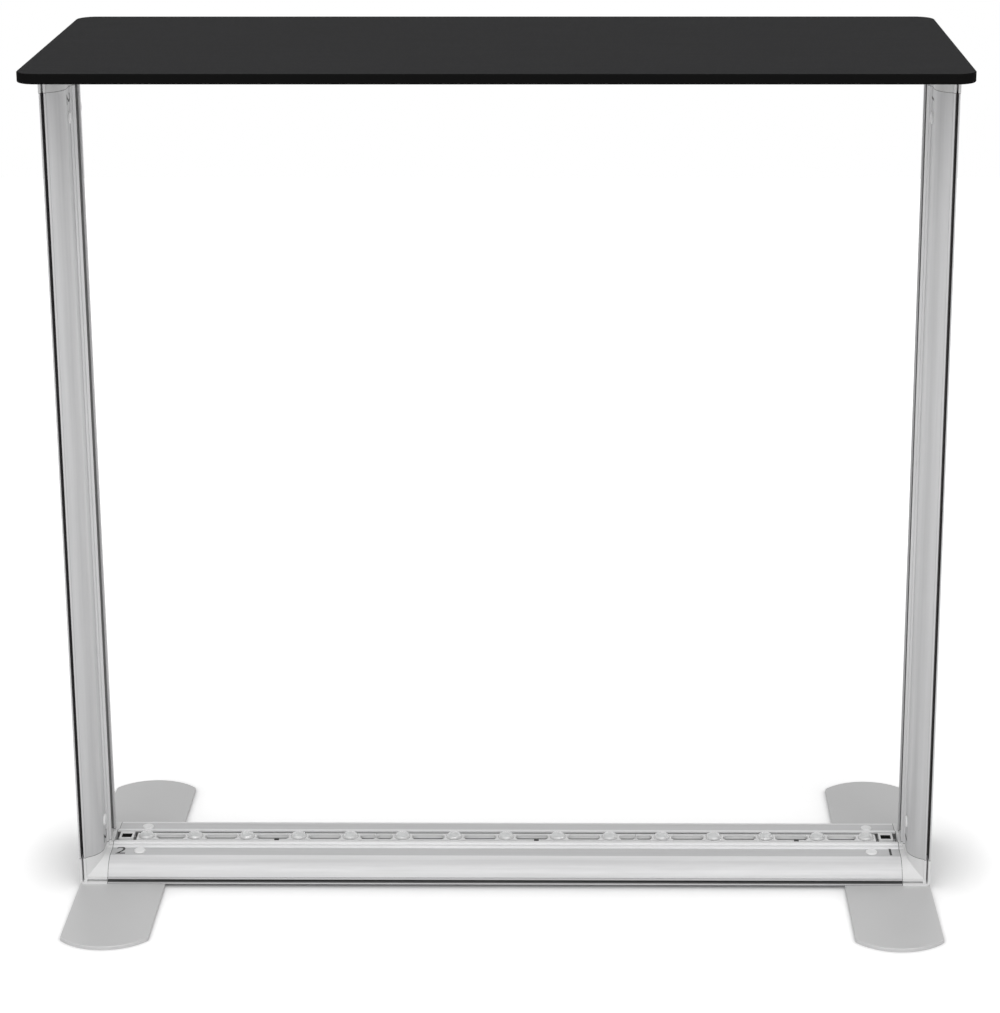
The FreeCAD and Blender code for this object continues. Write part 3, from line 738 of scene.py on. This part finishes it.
def hollow_shade_finish(name, rgb, hollow_shade, widths, rises, along):
    """Moulded plastic with painted shade inside its hollows.

    The shaded hollows lie between two widths and two rises. Along the rail they have a middle,
    mirrored on the other hand, and a reach.
    """
    material = plain_finish(name, rgb)
    tree = material.node_tree
    shader = tree.nodes["Principled BSDF"]
    place = add_node(tree, "ShaderNodeTexCoord").outputs["Object"]
    length_way, width, rise = (axis_value(tree, place, axis) for axis in range(3))
    inside = hollow_mask(tree, rise, rises, width, widths)
    from_middle = maths(tree, "ABSOLUTE", length_way)
    near = maths(tree, "LESS_THAN", away_from(tree, from_middle, along.middle), along.reach)
    plain = shader.inputs["Base Color"].links[0].from_socket
    shaded = blend_colours(tree, maths(tree, "MULTIPLY", inside, near), plain, opaque(hollow_shade))
    tree.links.new(shaded, shader.inputs["Base Color"])
    return material


def lens_finish(colours, skirt, top):
    """Clear moulded plastic with a slightly rippled skin, frosted on its skirt, whose paler colour
    up the dome is also a painted highlight.
    """
    material, tree, shader, place = new_material("clear_lens")
    ripple = place_group(tree, "fine_grain", {"Vector": place, "Scale": RIPPLE_SCALE})
    # painted highlight: the paler skirt colour fades into the top colour up the dome
    clear = between(tree, axis_value(tree, place, 2), skirt, top, 0.0, 1.0)
    tint = blend_colours(tree, clear, opaque(colours.lens), opaque(colours.lens_top))
    tone = place_group(tree, "tone_drift",
                       {"Vector": place, "Colour": tint, "Scale": LENS_DRIFT_SCALE,
                        "Amount": LENS_DRIFT})
    gloss = between(tree, tone.outputs["Mask"], *DRIFT_RANGE, *LENS_GLOSS)
    wire_shader(tree, shader, tone.outputs["Colour"], gloss, ripple.outputs["Height"],
                RIPPLE_DEPTH)
    set_shader(shader, Transmission_Weight=0.35, IOR=1.49, Specular_IOR_Level=0.9,
               Coat_Weight=1.0, Coat_Roughness=0.08)
    return material


def span(axis, first, last):
    """An axis, and the middle and half the length of what lies between two nodes' far ends."""
    low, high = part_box(first)[0][axis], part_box(last)[1][axis]
    return Span(axis, (low + high) / 2, (high - low) / 2)


def give(finish, *nodes):
    """Puts a finish on every material slot of the named CAD nodes."""
    for name in nodes:
        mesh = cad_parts[name].data
        if not mesh.materials:
            mesh.materials.append(finish)
        for index in range(len(mesh.materials)):
            mesh.materials[index] = finish


def names_with(start):
    """CAD nodes whose names start alike; at least one is needed."""
    found = sorted(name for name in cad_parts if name.startswith(start))
    if not found:
        raise RuntimeError("no node starts with " + start)
    return found


# operators

class PieceOperator:
    """What every operator here has in common."""
    bl_options = {"REGISTER", "UNDO"}

    def execute(self, context):
        self.build(*settings())
        return {"FINISHED"}


class COUNTER_OT_countertop(PieceOperator, bpy.types.Operator):
    """Gives the board its black laminate and its edge band"""
    bl_idname = "counter.countertop"
    bl_label = "Countertop"

    def build(self, sizes, colours, stage):
        give(laminate_finish(colours), "countertop")


class COUNTER_OT_extrusions(PieceOperator, bpy.types.Operator):
    """Gives the rails and posts their anodised finish"""
    bl_idname = "counter.extrusions"
    bl_label = "Rails and posts"

    def build(self, sizes, colours, stage):
        rail_ways = span(2, "bottom_rail", "top_rail"), span(0, "bottom_rail", "bottom_rail")
        post_ways = span(0, "left_post", "right_post"), span(2, "left_post", "left_post")
        give(aluminium_finish("anodised_rail", colours, colours.rail_slope_light, RAIL_STRETCH,
                              *rail_ways), *RAILS)
        give(aluminium_finish("anodised_post", colours, colours.post_slope_light, POST_STRETCH,
                              *post_ways), *POSTS)


class COUNTER_OT_corners(PieceOperator, bpy.types.Operator):
    """Gives the moulded corners their white plastic"""
    bl_idname = "counter.corners"
    bl_label = "Corners"

    def build(self, sizes, colours, stage):
        give(plain_finish("corner_plastic", colours.corner), *names_with("corner_"))


class COUNTER_OT_buttons(PieceOperator, bpy.types.Operator):
    """Builds the sixteen snap buttons with rounded edges and dished ends"""
    bl_idname = "counter.buttons"
    bl_label = "Snap buttons"

    def build(self, sizes, colours, stage):
        finish = plain_finish("button_plastic", colours.button)
        for node in BUTTONS:
            matrix, height = button_place(node)
            profile = button_profile(sizes, height)

            def button(shape):
                revolve(shape, profile, matrix)

            name = node.replace("button_", "snap_")
            piece = new_piece(name, button, node, finish)
            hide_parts(node)


class COUNTER_OT_springs(PieceOperator, bpy.types.Operator):
    """Builds the folded leaf springs under the buttons"""
    bl_idname = "counter.springs"
    bl_label = "Button springs"

    def build(self, sizes, colours, stage):
        finish = plain_finish("spring_steel", colours.steel)
        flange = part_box("button_bottom_left_rail_front")[0][2]
        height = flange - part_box("button_springs_bottom_left")[0][2]
        outline = strip_outline(self.line(sizes, height - LEAF_PLAY), sizes.leaf_sheet)
        for node in BUTTONS:
            place = node[len("button_"):]
            matrix = button_place(node)[0] @ Matrix.Translation((0, 0, -height))

            def leaf(shape):
                extrude_outline(shape, outline, sizes.leaf_width, matrix)

            piece = new_piece("leaf_" + place, leaf, "frame", finish)
            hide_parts("button_springs_" + "_".join(place.split("_")[:2]))
            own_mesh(piece)

    def line(self, sizes, height):
        """Middle line of a leaf: a foot, a fold, a rising blade and a bent crest."""
        half_sheet, fold, half = sizes.leaf_sheet / 2, sizes.leaf_fold, sizes.leaf_length / 2
        centre = (half_sheet + fold - half, half_sheet + fold)
        top = height - half_sheet
        slope = math.atan2(top - centre[1] - fold, -centre[0])
        line = [(half, half_sheet)]
        line += arc(centre, fold, 1.5 * math.pi, 0.5 * math.pi + slope, FOLD_STEPS)
        crest = sizes.leaf_crest
        return line + [(crest * along, top - crest * drop) for along, drop in CREST_SHAPE]


class COUNTER_OT_light_bars(PieceOperator, bpy.types.Operator):
    """Gives the boards, chips, carriers and clips of the light bars their finishes"""
    bl_idname = "counter.light_bars"
    bl_label = "Light bars"

    def build(self, sizes, colours, stage):
        give(plain_finish("circuit_mask", colours.circuit), *names_with("light_board"))
        give(plain_finish("chip_gel", colours.chip), *names_with("light_chips"))
        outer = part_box("bottom_rail")[0][2]
        whole = span(0, "bottom_rail", "bottom_rail")
        # painted shade: the carriers are dark inside their windows, below the window rise
        give(hollow_shade_finish("carrier_plastic", colours.carrier, colours.hollow_shade, WINDOW_SHADE_WIDTHS,
                           (outer, outer + WINDOW_SHADE_RISE), whole),
             *names_with("lens_carrier"))
        give(plain_finish("clip_plastic", colours.black), "bar_clips")


class COUNTER_OT_lenses(PieceOperator, bpy.types.Operator):
    """Builds the clear lenses with their rims and domes"""
    bl_idname = "counter.lenses"
    bl_label = "Lenses"

    def build(self, sizes, colours, stage):
        low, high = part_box("lenses_1")[0][2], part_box("lenses_1")[1][2]
        skirt = low + sizes.lens_rim
        finish = lens_finish(colours, *(skirt + (high - skirt) * part for part in LENS_FROST_HIGHLIGHT))
        profile = self.profile(sizes, high - low)
        for bar in BARS:
            node = "lenses_" + bar
            places = self.lens_places(node)

            def all_lenses(shape):
                for place in places:
                    revolve(shape, profile, Matrix.Translation((place, 0, low)))

            piece = new_piece("domes_" + bar, all_lenses, "frame", finish)
            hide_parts(node)

    def lens_places(self, node):
        """Middles of the lenses, from the separate solids of their node."""
        columns = sorted(vertex.co.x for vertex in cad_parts[node].data.vertices)
        places = [[columns[0]]]
        for column in columns[1:]:
            if column - places[-1][-1] > LENS_GAP:
                places.append([])
            places[-1].append(column)
        return [(place[0] + place[-1]) / 2 for place in places]

    def profile(self, sizes, height):
        """Half section of a lens: a rounded rim, a groove, and a dome with a dimple."""
        rim, radius, dome = sizes.lens_rim, sizes.lens_radius, sizes.lens_dome_radius
        profile = [(0, 0), (radius, 0)]
        profile += arc((radius - LENS_EDGE, rim - LENS_EDGE), LENS_EDGE, 0, math.pi / 2, RIM_STEPS)
        profile += [(dome + LENS_GROOVE_WIDTH, rim),
                    (dome + LENS_GROOVE_FOOT, rim - LENS_GROOVE_FOOT), (dome, rim)]
        for step in range(1, DOME_STEPS + 1):
            angle = math.pi / 2 * step / DOME_STEPS
            profile.append((dome * math.cos(angle), rim + (height - rim) * math.sin(angle)))
        profile[-1] = (0, height - LENS_DIMPLE)
        profile[-2] = (profile[-2][0], height - LENS_DIMPLE_EDGE)
        return profile


class COUNTER_OT_inlets(PieceOperator, bpy.types.Operator):
    """Gives the power inlets at both ends of the light bars their finishes"""
    bl_idname = "counter.inlets"
    bl_label = "Power inlets"

    def build(self, sizes, colours, stage):
        low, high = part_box("inlet_core_right")
        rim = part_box("inlet_housing_right")[1][2] - INLET_RIM
        core = span(0, "inlet_core_right", "inlet_core_right")
        bore = Span(core.axis, core.middle, core.reach + INLET_PLAY)
        # painted shade: the housings are black inside the bore around the core
        give(hollow_shade_finish("inlet_plastic", colours.inlet, colours.black,
                           (low[1] - INLET_PLAY, high[1] + INLET_PLAY), (0.0, rim), bore),
             *names_with("inlet_housing"))
        black = plain_finish("contact_plastic", colours.black)
        give(black, *names_with("inlet_core"), "inlet_leads")
        give(plain_finish("contact_metal", colours.brass), "inlet_pins")


class COUNTER_OT_feet(PieceOperator, bpy.types.Operator):
    """Gives the plate feet their powder coat"""
    bl_idname = "counter.feet"
    bl_label = "Feet"

    def build(self, sizes, colours, stage):
        give(plain_finish("powder_coat", colours.foot), "foot_left", "foot_right")


class COUNTER_OT_fixings(PieceOperator, bpy.types.Operator):
    """Gives the bolts, nuts, washers, thumb screws and inserts their finishes"""
    bl_idname = "counter.fixings"
    bl_label = "Fixings"

    def build(self, sizes, colours, stage):
        zinc = plain_finish("zinc_plate", colours.steel)
        give(zinc, *names_with("foot_bolt"), "foot_fastenings")
        give(plain_finish("insert_metal", colours.brass), "counter_inserts")
        give(plain_finish("screw_plastic", colours.black), "counter_screws")


class COUNTER_OT_numbers(PieceOperator, bpy.types.Operator):
    """Prints the plain numbers on the bands of the rails and posts"""
    bl_idname = "counter.numbers"
    bl_label = "Numbers"

    def build(self, sizes, colours, stage):
        finish = plain_finish("printed_ink", colours.ink)
        low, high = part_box("bottom_rail")[0][2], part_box("top_rail")[1][2]
        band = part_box("right_post")[1][0] - BAND_RISE
        for word, side in (("2", -1), ("1", 1)):
            inward = Vector((-side, 0, 0))
            for leg, across, level, way in (
                    ("rail", NUMBER_PLACE, low + BAND_RISE, STRAIGHT_UP),
                    ("post_low", band, low + NUMBER_INSET, inward),
                    ("post_high", band, high - NUMBER_INSET, inward)):
                place = Vector((side * across, -BUTTON_LINE, level))
                self.number("number_" + word + "_" + leg, word, sizes, finish, place, way)

    def number(self, name, word, sizes, finish, place, way):
        """A plain number on a band, with its top towards the back."""
        curve = bpy.data.curves.new(name, "FONT")
        curve.body = word
        curve.size = sizes.number_height * SIZE_TO_HEIGHT
        curve.align_x = "CENTER"
        curve.align_y = "CENTER"
        curve.extrude = sizes.ink
        curve.offset = NUMBER_WEIGHT
        curve.materials.append(finish)
        number = bpy.data.objects.new(name, curve)
        bpy.context.scene.collection.objects.link(number)
        axes = Matrix((STRAIGHT_BACK.cross(way), STRAIGHT_BACK, way)).transposed()
        number.matrix_world = Matrix.Translation(place) @ axes.to_4x4()
        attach(number, "frame")


class COUNTER_OT_stage(PieceOperator, bpy.types.Operator):
    """Sets out the floor, the soft lamps, the world and the camera"""
    bl_idname = "counter.stage"
    bl_label = "Stage"

    def build(self, sizes, colours, stage):
        bpy.context.scene.view_settings.view_transform = "Standard"
        self.floor(stage)
        self.world(stage)
        self.lamp("key_lamp", stage.key, KEY_PLACE, KEY_TARGET)
        self.lamp("top_lamp", stage.top, TOP_PLACE, TOP_TARGET)
        self.camera(stage)

    def floor(self, stage):
        """White paper, lit for the camera and shaded where things touch it."""
        shape = bmesh.new()
        bmesh.ops.create_grid(shape, x_segments=FLOOR_PARTS, y_segments=FLOOR_PARTS,
                              size=FLOOR_SIZE)
        mesh = bpy.data.meshes.new("studio_floor")
        shape.to_mesh(mesh)
        shape.free()
        floor = bpy.data.objects.new("studio_floor", mesh)
        floor.location.z = -FLOOR_DROP
        bpy.context.scene.collection.objects.link(floor)
        material, tree, shader, place = new_material("studio_paper")
        tone = place_group(tree, "tone_drift",
                           {"Vector": place, "Colour": opaque(stage.floor),
                            "Scale": PAPER_DRIFT_SCALE, "Amount": PAPER_DRIFT})
        tree.links.new(tone.outputs["Colour"], shader.inputs["Base Color"])
        away = add_node(tree, "ShaderNodeVectorMath", {"operation": "LENGTH"}, {0: place})
        lift = between(tree, away.outputs["Value"], *LIFT_RANGE, stage.floor_lift, 1.0)
        near = add_node(tree, "ShaderNodeAmbientOcclusion", {"samples": CONTACT_SAMPLES},
                        {"Distance": CONTACT_REACH}).outputs["AO"]
        contact = maths(tree, "MULTIPLY", lift, maths(tree, "POWER", near, CONTACT_POWER))
        glow = maths(tree, "MULTIPLY", seen_directly(tree), contact)
        tree.links.new(glow, shader.inputs["Emission Strength"])
        set_shader(shader, Roughness=PAPER_ROUGHNESS, Specular_IOR_Level=0.0,
                   Emission_Color=WHITE)
        mesh.materials.append(material)

    def world(self, stage):
        """Even light from all round, with a white backdrop for the camera."""
        world = bpy.data.worlds.new("studio_world")
        world.use_nodes = True
        tree = world.node_tree
        plain = tree.nodes["Background"]
        plain.inputs["Color"].default_value = WHITE
        plain.inputs["Strength"].default_value = stage.sky
        backdrop = add_node(tree, "ShaderNodeBackground", None, {"Color": WHITE, "Strength": 1.0})
        both = add_node(tree, "ShaderNodeMixShader", None,
                        {0: seen_directly(tree), 1: plain.outputs[0], 2: backdrop.outputs[0]})
        tree.links.new(both.outputs[0], tree.nodes["World Output"].inputs["Surface"])
        bpy.context.scene.world = world

    def lamp(self, name, power, place, target):
        """A wide soft lamp at a place, turned to a target."""
        light = bpy.data.lights.new(name, "AREA")
        light.energy = power
        light.shape = "RECTANGLE"
        light.size = LAMP_SIZE
        light.size_y = LAMP_SIZE * LAMP_RATIO
        lamp = bpy.data.objects.new(name, light)
        lamp.location = place
        way = Vector(target) - Vector(place)
        lamp.rotation_euler = way.to_track_quat("-Z", "Y").to_euler()
        bpy.context.scene.collection.objects.link(lamp)

    def camera(self, stage):
        """The camera that was fitted to the photograph."""
        yaw, pitch, roll = stage.camera_yaw, stage.camera_pitch, stage.camera_roll
        forward = Vector((math.sin(yaw) * math.cos(pitch), math.cos(yaw) * math.cos(pitch),
                          -math.sin(pitch)))
        right = Vector((math.cos(yaw), -math.sin(yaw), 0))
        up = right.cross(forward)
        across = right * math.cos(roll) + up * math.sin(roll)
        upright = up * math.cos(roll) - right * math.sin(roll)
        place = Matrix((across, upright, -forward)).transposed().to_4x4()
        place.translation = (stage.camera_x, stage.camera_y, stage.camera_z)
        data = bpy.data.cameras.new("camera")
        data.sensor_width = SENSOR_WIDTH
        data.lens = stage.focal_pixels / PHOTO_HEIGHT * SENSOR_WIDTH
        data.shift_x = (PHOTO_WIDTH / 2 - stage.centre_x) / PHOTO_HEIGHT
        data.shift_y = (stage.centre_y - PHOTO_HEIGHT / 2) / PHOTO_HEIGHT
        camera = bpy.data.objects.new("camera", data)
        camera.matrix_world = place
        bpy.context.scene.collection.objects.link(camera)
        bpy.context.scene.camera = camera


PIECE_OPERATORS = (
    COUNTER_OT_countertop,
    COUNTER_OT_extrusions,
    COUNTER_OT_corners,
    COUNTER_OT_buttons,
    COUNTER_OT_springs,
    COUNTER_OT_light_bars,
    COUNTER_OT_lenses,
    COUNTER_OT_inlets,
    COUNTER_OT_feet,
    COUNTER_OT_fixings,
    COUNTER_OT_numbers,
    COUNTER_OT_stage,
)


class COUNTER_PT_panel(bpy.types.Panel):
    """Lists the operators and the settings"""
    bl_idname = "COUNTER_PT_panel"
    bl_label = "Illuminated counter"
    bl_space_type = "VIEW_3D"
    bl_region_type = "UI"
    bl_category = "Counter"

    def draw(self, context):
        for group in settings():
            box = self.layout.box()
            for name in group.__annotations__:
                box.prop(group, name)
        for operator in PIECE_OPERATORS:
            self.layout.operator(operator.bl_idname)


CLASSES = (CounterSizes, CounterColours, CounterStage) + PIECE_OPERATORS + (COUNTER_PT_panel,)


def register():
    for item in CLASSES:
        bpy.utils.register_class(item)
    bpy.types.Scene.counter_sizes = PointerProperty(type=CounterSizes)
    bpy.types.Scene.counter_colours = PointerProperty(type=CounterColours)
    bpy.types.Scene.counter_stage = PointerProperty(type=CounterStage)


def unregister():
    del bpy.types.Scene.counter_stage
    del bpy.types.Scene.counter_colours
    del bpy.types.Scene.counter_sizes
    for item in reversed(CLASSES):
        bpy.utils.unregister_class(item)


def main():
    """Builds everything in order."""
    register()
    for operator in PIECE_OPERATORS:
        space, name = operator.bl_idname.split(".")
        getattr(getattr(bpy.ops, space), name)()


if __name__ == "__main__":
    main()
